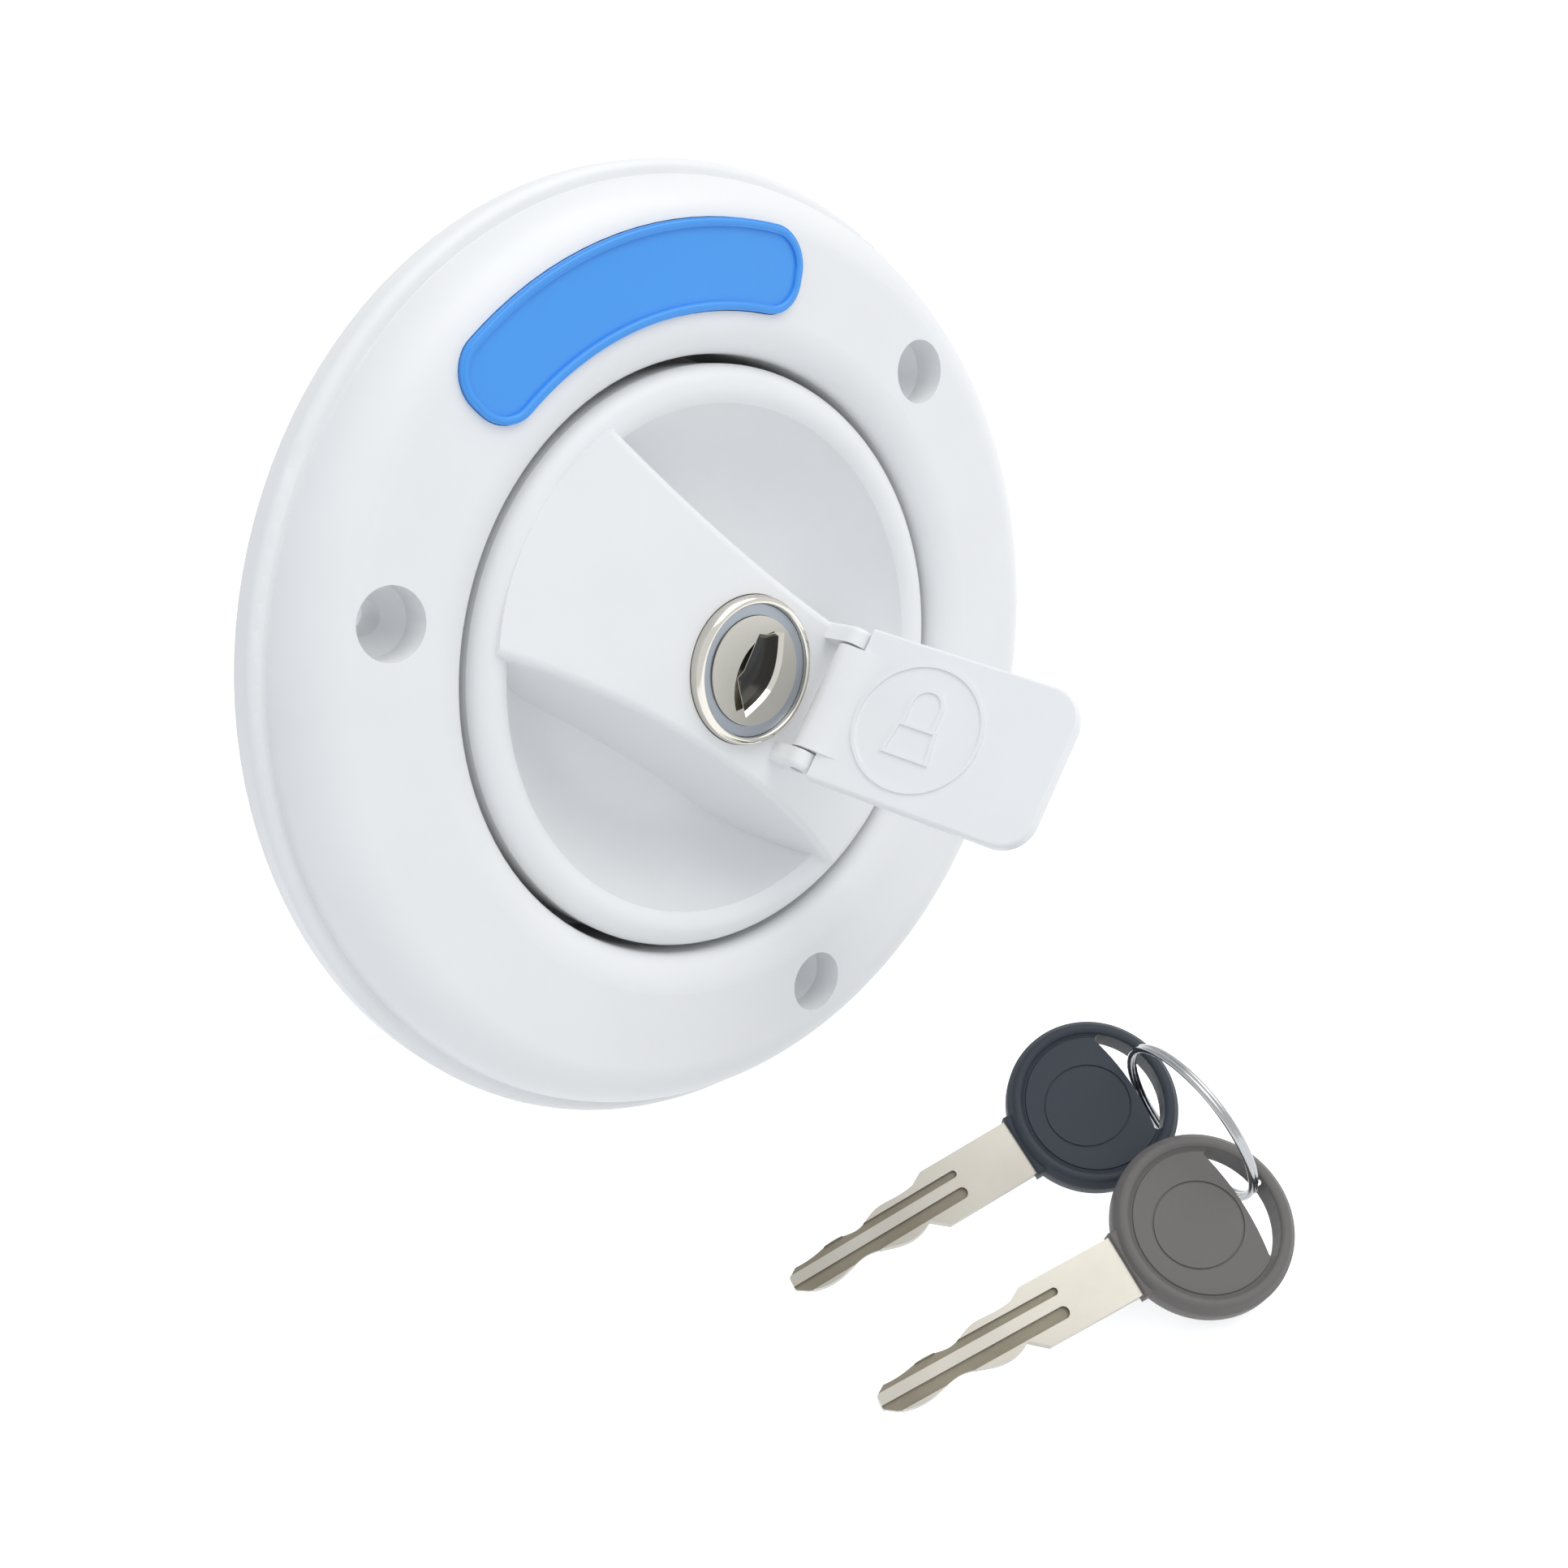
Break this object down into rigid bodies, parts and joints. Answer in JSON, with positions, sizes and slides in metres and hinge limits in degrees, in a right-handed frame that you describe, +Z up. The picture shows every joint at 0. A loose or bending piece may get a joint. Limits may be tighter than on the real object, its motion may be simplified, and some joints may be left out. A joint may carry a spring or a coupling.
{
  "type": "lockable water filler inlet",
  "caption": "Round wall-mounted water filler inlet with a bayonet cap, a key lock under a hinged dust flap, a hose spigot and a ring of keys.",
  "frame": {"origin": "centre of the wall flange's back face, on the cap's axis", "axes": "+X to the right seen from the front, +Z up towards the label, -Y out of the wall towards the user; the wall is the plane Y = 0"},
  "size_m": [0.13, 0.1485, 0.1576],
  "materials": {
    "white_plastic": "satin",
    "inner_plastic": "matt",
    "tail_plastic": "matt",
    "blue_label": "satin",
    "foam_gasket": "matt",
    "seal_rubber": "matt",
    "chrome": "polished",
    "zinc": "die cast",
    "nickel": "nickel plated",
    "steel": "bright",
    "brass": "stamped",
    "slate_plastic": "satin",
    "grey_plastic": "satin"
  },
  "bodies": {
    "housing": {"filler_base": "white_plastic", "front_trim": "white_plastic", "label_insert": "blue_label", "wall_gasket": "foam_gasket", "hose_tail": "tail_plastic", "vent_nipple": "tail_plastic", "split_ring": "steel"},
    "seal": {"cap_seal": "seal_rubber"},
    "cap": {"cap_shell": "white_plastic", "cap_core": "inner_plastic", "core_cover": "inner_plastic", "cap_screws": "steel", "cover_screws": "steel", "lock_bezel": "chrome", "lock_barrel": "zinc", "lock_nut": "steel", "flap_pin": "steel"},
    "plug": {"lock_plug": "nickel", "wafer_springs": "steel", "shutter_pin": "steel", "shutter_spring": "steel", "locking_cam": "zinc", "cam_screw": "steel"},
    "wafer_set": {"wafers": "brass"},
    "shutter": {"key_shutter": "chrome"},
    "bolt": {"lock_bolt": "zinc"},
    "flap": {"dust_flap": "white_plastic"},
    "key_a": {"key_a_bow": "slate_plastic", "key_a_blade": "nickel"},
    "key_b": {"key_b_bow": "grey_plastic", "key_b_blade": "nickel"}
  },
  "joints": [
    {"name": "cap_lift", "type": "slide", "parent": "housing", "child": "seal", "axis": [0, -1, 0], "range_m": [0, 0.045]},
    {"name": "cap_turn", "type": "hinge", "parent": "seal", "child": "cap", "pos_m": [0, 0, 0], "axis": [0, 1, 0], "range_deg": [0, 38]},
    {"name": "key_turn", "type": "hinge", "parent": "cap", "child": "plug", "pos_m": [0, 0, 0], "axis": [0, 1, 0], "range_deg": [0, 90]},
    {"name": "bolt_slide", "type": "slide", "parent": "cap", "child": "bolt", "axis": [0.9877, 0, 0.1564], "range_m": [0, 0.00401]},
    {"name": "wafer_slide", "type": "slide", "parent": "plug", "child": "wafer_set", "axis": [0.788, 0, 0.6157], "range_m": [0, 0.0007]},
    {"name": "shutter_swing", "type": "hinge", "parent": "plug", "child": "shutter", "pos_m": [0.00129, -0.0126, -0.00166], "axis": [-0.788, 0, -0.6157], "range_deg": [0, 80], "stiffness_Nm_per_rad": 0.0002, "springref_deg": -17.19},
    {"name": "flap_swing", "type": "hinge", "parent": "cap", "child": "flap", "pos_m": [0.00745, -0.0182, -0.00954], "axis": [0.788, 0, 0.6157], "range_deg": [-110, 65]},
    {"name": "key_a_swing", "type": "hinge", "parent": "housing", "child": "key_a", "pos_m": [0.02664, -0.04658, -0.07442], "axis": [-0.2529, -0.5357, 0.8056], "range_deg": [-15, 15]},
    {"name": "key_b_swing", "type": "hinge", "parent": "housing", "child": "key_b", "pos_m": [0.02139, -0.06806, -0.08315], "axis": [-0.2529, -0.5357, 0.8056], "range_deg": [-15, 15]}
  ],
  "couplings": [
    {"joint": "bolt_slide", "follows": "key_turn", "m_per_rad": 0.0025465}
  ]
}
